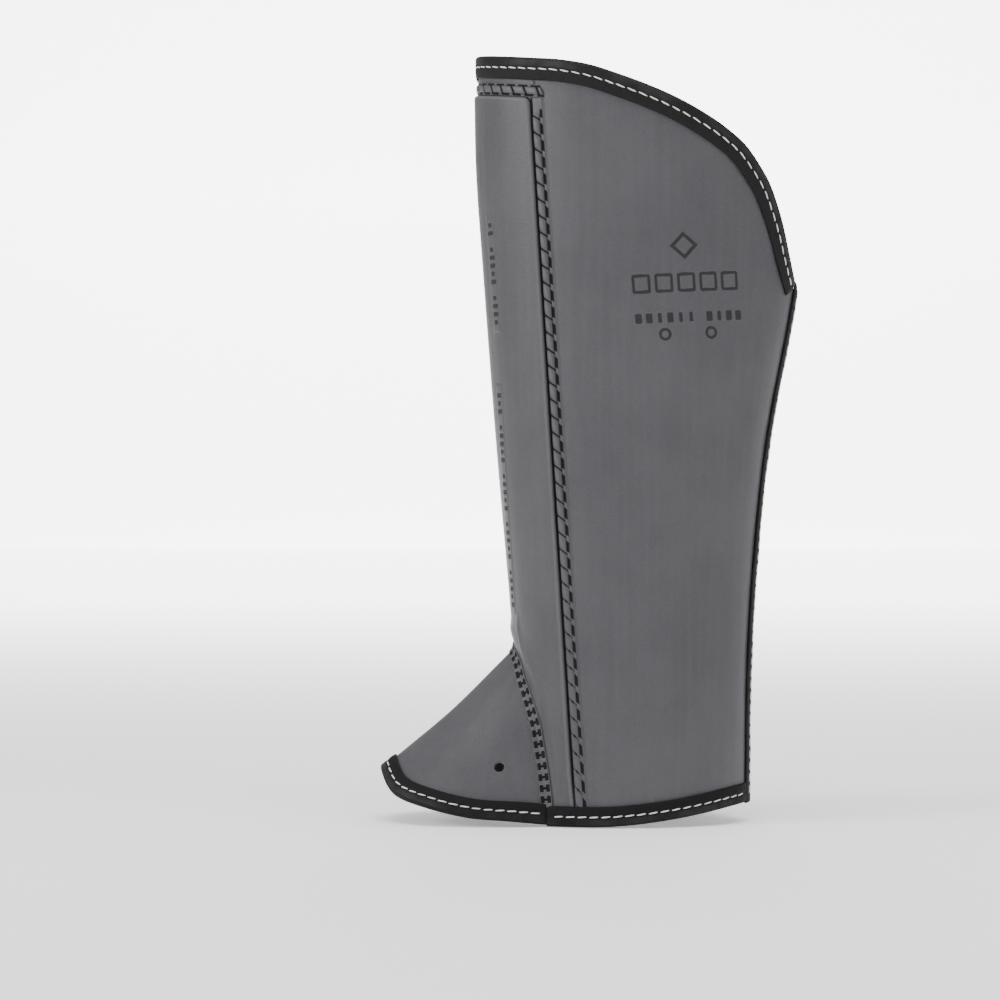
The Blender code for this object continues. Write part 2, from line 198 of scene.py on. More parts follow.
MM = 0.001
LEVELS = np.array([0, 100, 200, 300, 360, 420.0])
SHIN_X = np.array([-32, -39.4, -47.8, -55.6, -59.7, -60.6])
CALF_X = np.array([87.8, 89.8, 98.4, 115.8, 121, 123.0])
HALF_Y = np.array([48, 49, 52, 56, 57.5, 58.0])
INSTEP_Z, INSTEP_REACH, SQUARENESS = 94.0, 20.0, 0.2
TUCK, OVERLAP = 6.4, 55.0

TOP_EDGE = np.array([
    (0, 420.4), (0.07, 418.4), (0.14, 416.2), (0.22, 413.8), (0.302, 411.4), (0.367, 408.1), (0.43, 403),
    (0.492, 397.5), (0.555, 391.2), (0.619, 383.5), (0.686, 373.9), (0.732, 365.5), (0.767, 356.3),
    (0.8026, 345.4), (0.83, 334), (0.858, 321.5), (0.885, 309), (0.915, 299), (0.95, 291.6), (0.985, 288.6),
    (1.05, 287.5), (1.4, 287.5),
])
HEM = np.array([(0.25, 0), (0.34, 0), (0.42, 0), (0.49, 0.6), (0.566, 2.0), (0.645, 3.9), (0.73, 6.3),
                (0.83, 8.9), (0.9, 9.9), (1, 10.2), (1.4, 10.2)])
ARCH = np.array([(0, 94), (0.03, 92), (0.0826, 85.6), (0.1105, 77.4), (0.1385, 70.4), (0.161, 63.6),
                 (0.1893, 54.2), (0.2092, 44), (0.2234, 36.6), (0.2418, 26.8), (0.2657, 13), (0.284, 0.8)])
LIP = np.array([(-114.3, 0, 27.5), (-107.6, -21.5, 16.5), (-90, -37, 10.4), (-67, -43.6, 5.2),
                (-44, -44.4, 3.0), (0, 0, 0)])
FOLD = np.array([(-29.5, 391.0), (-6.0, 11.0)])
ARCH_SPLIT = 0.62

SHARES = np.linspace(-1.45, 1.45, 581)
ROWS = np.arange(-10.0, 431.0, 10)


def smooth(knots, values, at):
    """Cubic Hermite curve through the knots, straight beyond its ends."""
    at = np.asarray(at, float)
    slope = np.gradient(values, knots)
    near = np.clip(at, knots[0], knots[-1])
    k = np.clip(np.searchsorted(knots, near, side="right") - 1, 0, len(knots) - 2)
    step = knots[k + 1] - knots[k]
    u = (near - knots[k]) / step
    rise = (3 - 2 * u) * u * u
    bend = u * (1 - u) * step * ((1 - u) * slope[k] - u * slope[k + 1])
    end = np.where(at < knots[0], slope[0], slope[-1])
    return values[k] + rise * (values[k + 1] - values[k]) + bend + (at - near) * end


def ease(x, low, high):
    """Smoothstep: 0 below low, 1 above high."""
    t = np.clip((x - low) / (high - low), 0, 1)
    return t * t * (3 - 2 * t)


def outline(angle, z):
    """Oval at height z: x = c - a cos t, y = -b sin t (1 + k cos^2 t) over the front half."""
    reach = INSTEP_REACH * np.clip(1 - z / INSTEP_Z, 0, None) ** 2
    front, back = smooth(LEVELS, SHIN_X, z) - reach, smooth(LEVELS, CALF_X, z)
    square = SQUARENESS * np.clip(1 - z / 400, 0, None) * np.clip(np.cos(angle), 0, None) ** 2
    x = (front + back) / 2 - (back - front) / 2 * np.cos(angle)
    return x, -smooth(LEVELS, HALF_Y, z) * np.sin(angle) * (1 + square)


def girths():
    """Half the girth at each row, and the oval's angle at each share of it, by summing short chords."""
    angle = np.radians(np.linspace(-265, 265, 1061))
    girth, turn = [], []
    for z in ROWS:
        x, y = outline(angle, z)
        run = np.concatenate([[0], np.cumsum(np.hypot(np.diff(x), np.diff(y)))])
        run -= np.interp(0, angle, run)
        girth.append(np.interp(np.pi, angle, run))
        turn.append(np.interp(SHARES * girth[-1], run, angle))
    return np.array(girth), np.array(turn)


GIRTH, TURN = girths()


def half(z):
    return np.interp(z, ROWS, GIRTH)


def angle_at(share, z):
    """Angle of the oval at a share of the girth, read between the rows and columns of TURN."""
    row = np.clip((z - ROWS[0]) / 10, 0, len(ROWS) - 1.001)
    col = np.clip((share - SHARES[0]) / (SHARES[1] - SHARES[0]), 0, len(SHARES) - 1.001)
    i, j = row.astype(int), col.astype(int)
    p, q = row - i, col - j
    low = TURN[i, j] * (1 - q) + TURN[i, j + 1] * q
    high = TURN[i + 1, j] * (1 - q) + TURN[i + 1, j + 1] * q
    return low * (1 - p) + high * p


def skin(share, z, lift):
    """Points of the form: the oval's point plus lift along its level outward normal (dy, -dx) / length."""
    share, z, lift = np.broadcast_arrays(*(np.asarray(v, float) for v in (share, z, lift)))
    angle = angle_at(share, z)
    x, y = outline(angle, z)
    ahead, behind = outline(angle + 1e-3, z), outline(angle - 1e-3, z)
    dx, dy = ahead[0] - behind[0], ahead[1] - behind[1]
    long = np.hypot(dx, dy)
    return np.stack([x + lift * dy / long, y - lift * dx / long, z], -1)


def fold_shares(z):
    """Share where the straight fold line passes, by reading each oval backwards."""
    x = FOLD[1, 0] + (z - FOLD[1, 1]) / (FOLD[0, 1] - FOLD[1, 1]) * (FOLD[0, 0] - FOLD[1, 0])
    grid = np.linspace(0.15, 0.45, 61)
    return np.array([np.interp(a, outline(angle_at(grid, np.full(61, b)), b)[0], grid) for a, b in zip(x, z)])


FOLD_Z = np.linspace(-10, 430, 45)
FOLD_SHARE = fold_shares(FOLD_Z)


def fold_at(z):
    return np.interp(z, FOLD_Z, FOLD_SHARE)


def fine_edge(points, run):
    """The smooth curve through an edge's points, closely sampled."""
    at = np.linspace(run[0], run[-1], 400)
    return np.stack([smooth(run, points[:, 0], at), smooth(run, points[:, 1], at)], -1)


ARCH_RUN = np.concatenate([[0], np.cumsum(np.hypot(np.diff(ARCH[:, 0] * 182), np.diff(ARCH[:, 1])))])
TOP_LINE, HEM_LINE = fine_edge(TOP_EDGE, TOP_EDGE[:, 0]), fine_edge(HEM, HEM[:, 0])
HEM_LINE[:, 1] = HEM_LINE[:, 1].clip(0)
ARCH_LINE = fine_edge(ARCH, ARCH_RUN)
LIP[-1] = skin(*ARCH[-1], 0)


def limit(edge, depth, side, share):
    """Height of an edge moved by depth into the sheet, square to itself; side is -1 below it, 1 above it."""
    run = edge[:, 0] * half(edge[:, 1])
    along = np.stack([np.gradient(run), np.gradient(edge[:, 1])], -1)
    along /= np.linalg.norm(along, axis=1)[:, None]
    run, z = run - side * along[:, 1] * depth, edge[:, 1] + side * along[:, 0] * depth
    return np.interp(np.abs(share), run / half(z), z)


def tuck(share, z):
    """How far the inner wing dives below the outer one, by its distance from the back centre."""
    return np.where(share < 0, TUCK * ease(48 - (1 - np.abs(share)) * half(z), 0, 46), 0)


def wing_end(side):
    """Distance past the back centre of a wing's rear edge."""
    return -4.0 if side > 0 else OVERLAP + 4.0


def solid(name, points, faces, finish, paint=None, cloth=None):
    """A mesh from points in millimetres, in one finish.

    paint is a value for each point, from 1 for painted shade in a groove to -1 for a painted highlight on a
    raised rim, and cloth its two distances along the cloth, which become the UV map in metres.
    """
    mesh = bpy.data.meshes.new(name)
    mesh.from_pydata((points * MM).tolist(), [], faces)
    mesh.shade_smooth()
    mesh.materials.append(finish)
    if paint is not None:
        groove = mesh.attributes.new("groove", "FLOAT", "POINT")
        groove.data.foreach_set("value", paint.astype(np.float32).ravel())
    if cloth is not None:
        corners = np.empty(len(mesh.loops), np.int32)
        mesh.loops.foreach_get("vertex_index", corners)
        uv = (cloth.reshape(-1, 2) * MM)[corners]
        mesh.uv_layers.new(name="cloth").data.foreach_set("uv", uv.astype(np.float32).ravel())
    made = bpy.data.objects.new(name, mesh)
    bpy.context.scene.collection.objects.link(made)
    return made


def two_faced(name, outer, inner, finish, paint=None):
    """A sheet: matching grids of outer and inner points, with a rim of quads joining their edges.

    It is turned so that the sum of each face's normal times its step from the inner face is positive.
    """
    rows, columns = outer.shape[:2]
    index = np.arange(rows * columns).reshape(rows, columns)
    face = np.stack([index[:-1, :-1], index[:-1, 1:], index[1:, 1:], index[1:, :-1]], -1).reshape(-1, 4)
    edge = np.concatenate([index[0, :-1], index[:-1, -1], index[-1, :0:-1], index[:0:-1, 0]])
    ahead, below = np.roll(edge, -1), rows * columns
    rim = np.stack([ahead, edge, edge + below, ahead + below], -1)
    quads = np.concatenate([face, face[:, ::-1] + below, rim])
    points = np.concatenate([outer.reshape(-1, 3), inner.reshape(-1, 3)])
    corner = points[face]
    normal = np.cross(corner[:, 2] - corner[:, 0], corner[:, 3] - corner[:, 1])
    if (normal * (corner[:, 0] - points[face[:, 0] + below])).sum() < 0:
        quads = quads[:, ::-1]
    if paint is not None:
        paint = np.concatenate([paint.ravel(), np.zeros(below)])
    return solid(name, points, quads.tolist(), finish, paint)


# ---- Grey laminate ----------------------------------------------------------------------------------------
# Shell, pocket and flap are cut from one woven fabric coated in satin grey PVC, calendered with a fine
# leather grain. Shade is painted near black into weld grooves and recesses, and a highlight is painted pale
# along raised rims and on the crowns of weld pillows.


def laminate(name, deep, pale):
    """Coated fabric between two greys, by cloudy wear and faint upright streaks, with its grain as bump."""
    made, place, wear = finish_of(name, 0.42, Specular_IOR_Level=0.25)
    cloud = noise(place, 14.0, 4.0)
    streak = noise(place, 260.0, 2.0, 0.5, stretch=(1, 1, 0.035))
    pore = noise(place, 1500.0, 2.0, 0.6)
    cell = place.node("ShaderNodeTexVoronoi", {"feature": "SMOOTH_F1"}, Vector=place, Scale=980.0,
                      Smoothness=0.6)
    groove = place.node("ShaderNodeAttribute", {"attribute_name": "groove"}, out=2)
    # Painted shade and highlight: the groove attribute darkens grooves and recesses to near black and
    # lightens raised rims.
    sunk, painted_highlight = groove.smooth(0.05, 0.9), (0 - groove).smooth(0.0, 1.0)
    grey = (cloud * 0.5 + streak * 0.14 + pore * 0.36).smooth(0.25, 0.75).tint(deep, pale)
    with_painted_highlight = (painted_highlight * 0.7).shade(tuple(1.45 * value for value in pale), grey)
    grain = cell * 0.7 + pore * 0.5
    wear(Base_Color=(sunk * 0.99).shade((0.0012, 0.0012, 0.0013), with_painted_highlight),
         Roughness=cloud * 0.16 + pore * 0.08 + sunk * 0.3 + 0.3,
         Normal=grain.node("ShaderNodeBump", Strength=0.6, Distance=0.00016, Height=grain))
    return made


SHELL_GREY = laminate("grey_laminate", (0.056, 0.055, 0.061), (0.084, 0.083, 0.09))
# The shin panel and its marks get a slightly darker copy of the same laminate: painted shade on the front.
SHADED_FRONT_GREY = laminate("pocket_laminate_shaded_grey", (0.053, 0.052, 0.057), (0.08, 0.079, 0.086))

# ---- Shin panel with its splint pocket --------------------------------------------------------------------
# One sheet of laminate over the shin, with a second moulded over three splints and welded down all round, so
# that the pocket stands up from its margin with a quarter-round rim. It replaces the shell and the cover.

EDGE_TRIM, LAYER = 1.9, -1.4
POCKET_MARGIN, POCKET_TOP, POCKET_HEIGHT, POCKET_RIM = 3.0, 21.3, 2.4, 1.7
ARCH_SLOPE = np.gradient(ARCH_LINE[:, 1]) / np.gradient(ARCH_LINE[:, 0] * half(ARCH_LINE[:, 1]))


def arch_distance(share, z):
    """Distance above the seam arch, square to it: the height above it times the cosine of its slope."""
    above = z - np.interp(np.abs(share), ARCH_LINE[:, 0], ARCH_LINE[:, 1])
    return above / np.hypot(1, np.interp(np.abs(share), ARCH_LINE[:, 0], ARCH_SLOPE))


def cornered(a, b, radius):
    """Distance in from two edges at distances a and b that meet in a corner of that radius."""
    p, q = radius - a, radius - b
    return radius - np.hypot(p.clip(0), q.clip(0)) - np.minimum(np.maximum(p, q), 0)


def pocket_depth(share, z):
    """Distance in from the outline of the raised pocket."""
    side = (fold_at(z) - np.abs(share)) * half(z) - POCKET_MARGIN
    return cornered(side, limit(TOP_LINE, POCKET_TOP, -1, share) - z, 4.0)


def pocket_fade(share, z):
    """How far the pocket has risen above the seam arch and the hem, where it has no rim: 0 to 1."""
    arch = np.where(np.abs(share) < ARCH[-1, 0] + 0.03, arch_distance(share, z), 1e3)
    return ease(arch, 3.0, 12.0) * ease(z, 9, 30)


def seam_rise(share, z):
    """How far the sheet swells out to meet the seam arch, as the flap's welded edge does."""
    t = np.interp(np.abs(share), ARCH_LINE[:, 0], np.linspace(0, 1, len(ARCH_LINE)))
    return 2.0 * (1 - t * t) * (1 - ease(arch_distance(share, z), 4, 18))


def rounded(depth, width):
    """Quarter round: sqrt(1 - (1 - t)^2), with t from 0 to 1 over the width."""
    return np.sqrt(1 - (1 - np.clip(depth / width, 0, 1)) ** 2)


def swell(x, z, seed):
    """Slow unevenness of a worked sheet, within about 1: three crossed sine waves."""
    return (np.sin(x / 17 + seed) * np.sin(z / 41 + 2 * seed) + 0.6 * np.sin(x / 29 - z / 37 + seed)
            + 0.4 * np.sin(z / 23 + x / 61 - seed)) / 2


def front_grid(from_top, from_foot, across, middle, lowest):
    """Shares and heights over the front: rows at set distances from the top and foot, the rest between.

    A share is the column's fraction of the way to the fold; share and height are settled by turns.
    """
    z = np.full((len(from_foot) + middle + len(from_top), len(across)), 200.0)
    for _ in range(30):
        share = across * (fold_at(z) - 0.02 / half(z))
        high = limit(TOP_LINE, EDGE_TRIM, -1, share)
        low = np.maximum(limit(HEM_LINE, EDGE_TRIM, 1, share),
                         np.interp(np.abs(share), ARCH_LINE[:, 0], ARCH_LINE[:, 1], right=0) + lowest)
        foot = low[:len(from_foot)] + from_foot[:, None]
        top = high[-len(from_top):] - from_top[::-1, None]
        part = np.linspace(0, 1, middle + 2)[1:-1, None]
        z = 0.5 * z + 0.5 * np.concatenate([foot, foot[-1] + part * (top[0] - foot[-1]), top])
    return share, z


rim_steps = np.array([-1.2, -0.7, -0.3, 0, 0.12, 0.3, 0.55, 0.9, 1.3, 1.8, 2.4, 3.2])
reach = np.concatenate([[0, 1.2], POCKET_MARGIN + rim_steps, np.arange(7.6, 55, 1.35)])
columns = 1 - np.concatenate([reach, [56.2]]) / 57
columns = np.concatenate([-columns, columns[::-1]])
from_top = np.concatenate([[0, 6, 12, 16], POCKET_TOP - EDGE_TRIM + rim_steps, [24, 26, 30]])
from_foot = np.concatenate([np.arange(0, 5, 0.8), np.arange(5, 26, 1.0), [27, 29, 31]])
share, z = front_grid(from_top, from_foot, columns, 190, 0.4)
depth = pocket_depth(share, z)
lift = POCKET_HEIGHT * rounded(depth, POCKET_RIM) * pocket_fade(share, z) + seam_rise(share, z)
lift += 0.22 * swell(share * 182, z, 0.7) * ease(depth, 2, 14)
beside_splint = np.exp(-((np.abs(share) * half(z) - 15.3) / 2.6) ** 2)
lift -= 0.12 * beside_splint * ease(depth, 5, 16) * ease(395 - z, 0, 20)
# Painted shade: a dark line just outside the pocket's outline; painted highlight: a paler band along its
# rounded rim.
paint = ease(depth, -1.0, -0.35) * (1 - ease(depth, -0.1, 0.35)) - 0.75 * ease(depth, 0.2, 0.8) * (
    1 - ease(depth, 1.4, 2.6))
shin_panel = two_faced("shin_panel", skin(share, z, lift), skin(share, z, LAYER), SHADED_FRONT_GREY, paint)
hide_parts("front_shell", "pocket_cover")
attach(shin_panel, "shin_front")

# ---- Wings ------------------------------------------------------------------------------------------------
# A wing of the same laminate runs from each fold to the back, the inner one on under the outer one.

FOLD_FOOT, FOLD_DIRECTION = (-0.0062648, -0.04713996, 0.011), (0.06281864, -0.00655716, -0.99800342)
BEND_DIRECTION = (0.998, 0.0, 0.0628)  # straight back and square to the fold
MIRROR = np.array([1, -1, 1])
SIDES = (("lateral", 1), ("medial", -1))


def bend_over_fold(piece, side):
    """Bake a piece's transform; a blend across the wing's fold, from 1 mm before it to 15 mm behind, is not
    made.
    """
    middle = np.array(FOLD_FOOT) - 0.19 * np.array(FOLD_DIRECTION)
    start, end = ((middle + distance * MM * np.array(BEND_DIRECTION)) for distance in (-1, 15))
    turn = MIRROR if side < 0 else 1
    tuple(start * turn)
    tuple(end * turn)
    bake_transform(piece)


def wing_grid(side, across, up, trim):
    """Shares and heights over a wing, from the fold to trim before its rear edge and hem to top alike."""
    z = np.full((len(up), len(across)), 200.0)
    for _ in range(20):
        near = fold_at(z) + 0.02 / half(z)
        share = near + across * (1 + (wing_end(side) - trim) / half(z) - near)
        low, high = limit(HEM_LINE, trim, 1, share), limit(TOP_LINE, trim, -1, share)
        z = low + up[:, None] * (high - low)
    return side * share, z


def wing_layer(share, z, lift):
    """A layer of a wing: the leg's skin at a lift, sunk where the inner wing dives below the outer one."""
    return skin(share, z, lift - tuck(share, z))


for name, side in SIDES:
    across, up = np.linspace(0, 1, 130 if side > 0 else 170), np.linspace(0, 1, 210)
    share, z = wing_grid(side, across, up, EDGE_TRIM)
    waves = 0.3 * swell(share * 182, z, 1.9) * ease(across, 0.05, 0.2) * ease(1 - across, 0, 0.1)
    wing = two_faced(f"{name}_wing_skin", wing_layer(share, z, waves), wing_layer(share, z, waves + LAYER),
                     SHELL_GREY, 0 * share)
    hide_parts(f"{name}_shell")
    bend_over_fold(wing, side)
    0.18 if side > 0 else 0.24
    0.056 if side > 0 else 0.073

# ---- Linings ----------------------------------------------------------------------------------------------
# A black knit lines the panel and both wings, bound in with them at every edge.


def knit(name, dark, light):
    """Fine warp knit: columns of small loops as crossed waves on the cloth, slightly uneven in tone."""
    made, place, wear = finish_of(name, 0.95, Specular_IOR_Level=0.2, Sheen_Weight=0.25)
    loops = place.node("ShaderNodeTexWave", {"bands_direction": "Z"}, Vector=place, Scale=260.0,
                       Distortion=1.5, Detail=1.0, Detail_Scale=2.0)
    ribs = place.node("ShaderNodeTexWave", {"bands_direction": "DIAGONAL"}, Vector=place, Scale=200.0,
                      Distortion=1.2, Detail=1.0, Detail_Scale=2.0)
    cloud = noise(place, 30.0)
    weave = loops * 0.6 + ribs * 0.4
    wear(Base_Color=(cloud * 0.5 + weave * 0.5).tint(dark, light),
         Normal=weave.node("ShaderNodeBump", Strength=0.6, Distance=0.0003, Height=weave))
    return made


LINING_BLACK = knit("lining_knit", (0.012, 0.012, 0.013), (0.03, 0.03, 0.032))
LINING_OUT, LINING_IN = -1.7, -2.7

share, z = front_grid(np.array([0.5]), np.array([0.5]), np.linspace(-1, 1, 61), 90, 1.2)
front_lining = two_faced("front_lining_knit", skin(share, z, LINING_OUT), skin(share, z, LINING_IN),
                         LINING_BLACK)
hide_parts("front_lining")
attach(front_lining, "shin_front")

for name, side in SIDES:
    share, z = wing_grid(side, np.linspace(0, 1, 70), np.linspace(0, 1, 90), 2.4)
    lining = two_faced(f"{name}_lining_knit", wing_layer(share, z, LINING_OUT),
                       wing_layer(share, z, LINING_IN), LINING_BLACK)
    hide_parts(f"{name}_lining")
    bend_over_fold(lining, side)
    0.18 if side > 0 else 0.24
    0.055 if side > 0 else 0.072

# ---- Weld along each side of the pocket -------------------------------------------------------------------
# The pocket is held down by a bar weld beside its rim: a deep groove, then a run of slanted pillows cut
# apart by narrow ticks, and behind them a row of long dashes. It flattens out towards the hem. Shade is
# painted near black into the groove, ticks, dashes and dots, and the pillows are painted pale on their crowns
# and darker between them.

PILLOW_PITCH, PILLOW_RISE, TICK_SLANT = 8.9, 1.5, 0.55
PILLOW_MIDDLE, PILLOW_HALF = 2.95, 2.15


def tick(run, pitch, width):
    """1 in narrow marks repeated along a run, 0 between, with soft edges."""
    off = np.abs((run / pitch + 0.5) % 1 - 0.5) * pitch
    return 1 - ease(off, width / 2 - 0.16, width / 2 + 0.16)


def band(q, low, high):
    """1 between two distances, 0 outside, with soft edges."""
    return ease(q, low - 0.14, low + 0.14) * (1 - ease(q, high - 0.14, high + 0.14))


def bar_weld(behind, down):
    """Height and groove of the weld, by the distance behind the pocket rim and down from its top."""
    strong = (1 - 0.5 * ease(down, 150, 330)) * ease(down, 7, 11)
    slanted = down - TICK_SLANT * behind
    ticks = tick(slanted, PILLOW_PITCH, 1.0) * band(behind, 1.0, 5.3)
    place = np.abs((slanted / PILLOW_PITCH) % 1 - 0.5) * 2
    aside = np.clip(np.abs(behind - PILLOW_MIDDLE) / PILLOW_HALF, 0, 1)
    pillow = np.sqrt((1 - aside ** 2.4) * (1 - place ** 2.4))
    dashes = tick(slanted + PILLOW_PITCH / 2, PILLOW_PITCH, 5.6) * band(behind, 5.1, 6.8) * ease(down, 5, 7)
    dots = tick(slanted, PILLOW_PITCH, 1.2) * band(behind, 2.6, 3.8) * ease(down, 200, 330)
    seam = band(behind, -1, 1.15)
    height = 0.42 + PILLOW_RISE * strong * pillow + 0.25 * band(behind, 6.3, 7.2)
    height *= 1 - ease(behind, 6.6, 8.0)
    height -= 0.36 * np.maximum(seam, dashes) + 0.25 * dots
    # Painted shade between the pillows and a painted highlight on their crowns; seam, dashes, ticks and dots
    # are painted shade.
    shade = band(behind, 0.9, 5.4) * strong * (0.5 - 0.95 * pillow ** 2)
    return height.clip(0.06), np.clip(seam + dashes + 0.6 * ticks * strong + 0.8 * dots + shade, -0.5, 1)


for name, side in SIDES:
    behind, down = np.meshgrid(np.linspace(-0.1, 8.1, 30), np.linspace(0, 381.5, 1120))
    z = 0 * down
    for _ in range(12):
        share = fold_at(z) + (behind - POCKET_MARGIN) / half(z)
        z = limit(TOP_LINE, 21.5, -1, share) - down
    height, groove = bar_weld(behind, down)
    weld = two_faced(f"{name}_side_weld", skin(side * share, z, height), skin(side * share, z, -0.3 + 0 * z),
                     SHELL_GREY, groove)
    bend_over_fold(weld, side)

# ---- Weld across the top of the pocket --------------------------------------------------------------------
# The same tooling closes the pocket below the top tape: a row of dashes, slanted ticks, then dashes again,
# with slanted ends behind the corners of the pocket. It is made in two halves that meet over the shin.

TOP_WELD_RUN, TOP_WELD_START, TOP_WELD_END, TOP_WELD_PITCH = 61.5, 14.6, 21.3, 8.0

for name, side in SIDES:
    run, depth = np.meshgrid(np.linspace(0, TOP_WELD_RUN, 200), np.linspace(TOP_WELD_START, TOP_WELD_END, 26))
    run = run * (1 + 0.05 * (depth - TOP_WELD_END) / 6.7)
    z = 400 + 0 * run
    for _ in range(8):
        share = run / half(z)
        z = limit(TOP_LINE, 0, -1, share) - depth
    q = depth - TOP_WELD_START
    upper = tick(run, TOP_WELD_PITCH, 6.0) * band(q, 0.3, 1.3)
    lower = tick(run + TOP_WELD_PITCH / 2, TOP_WELD_PITCH, 5.6) * band(q, 5.3, 6.4)
    slanted = run - 0.5 * q
    groove = np.maximum(np.maximum(upper, lower), tick(slanted, TOP_WELD_PITCH, 1.1) * band(q, 1.1, 5.4))
    end = ease(TOP_WELD_RUN - run, 0, 1.2)
    place = np.abs((slanted / TOP_WELD_PITCH) % 1 - 0.5) * 2
    pillow = (1 - (np.abs(q - 3.3) / 2.2).clip(0, 1) ** 3) * (1 - place ** 4)
    height = (0.3 + 1.1 * np.sqrt(pillow)) * end + 0.05
    height -= 0.3 * groove * end
    # Painted shade in the dashes and ticks and between the pillows, and a painted highlight on the pillows'
    # crowns.
    groove = np.clip(groove + band(q, 1.1, 5.4) * (0.4 - 0.8 * pillow ** 1.5), -0.5, 1)
    weld = two_faced(f"{name}_top_weld", skin(side * share, z, height.clip(0.05)),
                     skin(side * share, z, -0.3 + 0 * z), SHELL_GREY, groove)
    bend_over_fold(weld, side)

# ---- Binding tape and its stitching -----------------------------------------------------------------------
# Every raw edge is wrapped in black ribbed polyester tape, folded over it and sewn through with one row of
# white thread that dimples the tape. Each length of tape is a profile carried along its edge.

TAPE_OUT, TAPE_IN, TAPE_THICK = 1.25, -3.9, 0.85
STITCH_PITCH, STITCH_LONG, STITCH_RADIUS = 6.4, 5.2, 0.4


def ribbed_tape(name, dark, light):
    """Ribs square to the edge from the UV's length, a painted sheen on the outer half, lint as fine noise."""
    made, place, wear = finish_of(name, 0.7, Specular_IOR_Level=0.12)
    cloth = place.node("ShaderNodeUVMap", {"uv_map": "cloth"})
    along = cloth.node("ShaderNodeSeparateXYZ", Vector=cloth)
    round_it = cloth.node("ShaderNodeSeparateXYZ", out=1, Vector=cloth)
    # Painted sheen: a paler band over the outer half of the tape's face, patchy by cloud.
    sheen_band = round_it.smooth(0.0058, 0.0075) - round_it.smooth(0.0092, 0.0105)
    rib = along.maths("SINE", along * 9000.0)
    lint, cloud = noise(place, 420.0, 4.0, 0.6), noise(place, 45.0)
    sheen = sheen_band * cloud.smooth(0.35, 0.65)
    wear(Base_Color=(lint * 0.45 + rib * 0.08 + sheen * 0.85).tint(dark, light),
         Roughness=lint * 0.2 + 0.55 - sheen * 0.22,
         Normal=rib.node("ShaderNodeBump", Strength=0.5, Distance=0.00008, Height=rib * 0.5 + lint))
    return made


TOP_BLACK = ribbed_tape("binding_tape_black", (0.008, 0.008, 0.0085), (0.026, 0.0255, 0.0265))
# The hem and the flap's lip get a darker copy of the same tape: painted shade on the lower edges.
SHADED_HEM_BLACK = ribbed_tape("binding_tape_deep_black", (0.004, 0.004, 0.0042), (0.02, 0.0196, 0.02))

WHITE_THREAD, place, wear = finish_of("stitching_thread_white", 0.55, Specular_IOR_Level=0.3)
strand = place.node("ShaderNodeTexWave", {"bands_direction": "DIAGONAL"}, Vector=place, Scale=900.0,
                    Distortion=0.6)
wear(Base_Color=(strand * 0.6 + noise(place, 90.0) * 0.4).tint((0.5, 0.5, 0.49), (0.86, 0.86, 0.84)),
     Normal=strand.node("ShaderNodeBump", Strength=0.5, Distance=0.0001, Height=strand))


def edge_path(edge, direction, side, start, stop):
    """Path along an edge: t runs between two shares, and depth is measured square to the edge."""
    line = np.concatenate([edge[:0:-1] * [-1, 1], edge])
    along = np.stack([np.gradient(line[:, 0] * half(line[:, 1])), np.gradient(line[:, 1])], -1)
    along /= np.linalg.norm(along, axis=1)[:, None]

    def path(t, depth, lift):
        first = start(depth)
        share = first + t * (stop - first)
        slope = [np.interp(share, line[:, 0], along[:, k]) for k in (0, 1)]
        z = np.interp(share, line[:, 0], line[:, 1]) + direction * slope[0] * depth
        share = side * (share - direction * slope[1] * depth / half(z))
        return skin(share, z, lift - tuck(share, z))
    return path


def rear_path(side):
    """Path up the rear edge of a wing, from the hem to the top edge."""
    def path(t, depth, lift):
        z = np.full(np.broadcast(t, depth).shape, 150.0)
        for _ in range(8):
            share = 1 + (wing_end(side) - depth) / half(z)
            low, high = limit(HEM_LINE, -0.3, 1, share), limit(TOP_LINE, -0.4, -1, share)
            z = low + t * (high - low)
        return skin(side * share, z, lift - tuck(side * share, z))
    return path


def tape_profile(width):
    """Cross-section of a folded tape, as (depth, lift): a crowned face either side of a round fold, each
    sunk along its middle by the stitching, and the tape's own thickness inside."""
    d = np.linspace(width, 1.1, 15)
    sunk = 0.42 * np.exp(-((d - width / 2) / 0.95) ** 2)
    face = 0.5 * np.sin(np.pi * np.clip(d / width, 0, 1)) ** 0.7 - sunk
    turn = np.radians(np.linspace(90, -90, 9)[1:-1])
    middle, tall = (TAPE_OUT + TAPE_IN) / 2, (TAPE_OUT - TAPE_IN) / 2
    fold = np.stack([1.1 - 1.25 * np.cos(turn), middle + tall * np.sin(turn)], -1)
    low, high = TAPE_IN + TAPE_THICK, TAPE_OUT - TAPE_THICK
    lining = np.array([(width, low), (1.4, low), (1.4, high), (width, high)])
    outer, inner = np.stack([d, TAPE_OUT + face], -1), np.stack([d[::-1], TAPE_IN - 0.3 * face[::-1]], -1)
    return np.concatenate([outer, fold, inner, lining])


def tubes(name, loops, finish, cloth=None):
    """Closed tubes, as (tube, ring, corner, 3), capped at both ends.

    They are turned so that the sum of each side's normal times its step from the ring's middle is positive.
    """
    index = np.arange(loops[..., 0].size).reshape(loops.shape[:3])
    turned = np.roll(index, -1, axis=2)
    sides = np.stack([index[:, :-1], turned[:, :-1], turned[:, 1:], index[:, 1:]], -1).reshape(-1, 4)
    points = loops.reshape(-1, 3)
    middle = np.repeat(loops[:, :-1].mean(2).reshape(-1, 3), loops.shape[2], axis=0)
    corner = points[sides]
    normal = np.cross(corner[:, 2] - corner[:, 0], corner[:, 3] - corner[:, 1])
    faces = sides.tolist() + index[:, 0, ::-1].tolist() + index[:, -1].tolist()
    if (normal * (corner[:, 0] - middle)).sum() < 0:
        faces = [face[::-1] for face in faces]
    return solid(name, points, faces, finish, cloth=cloth)


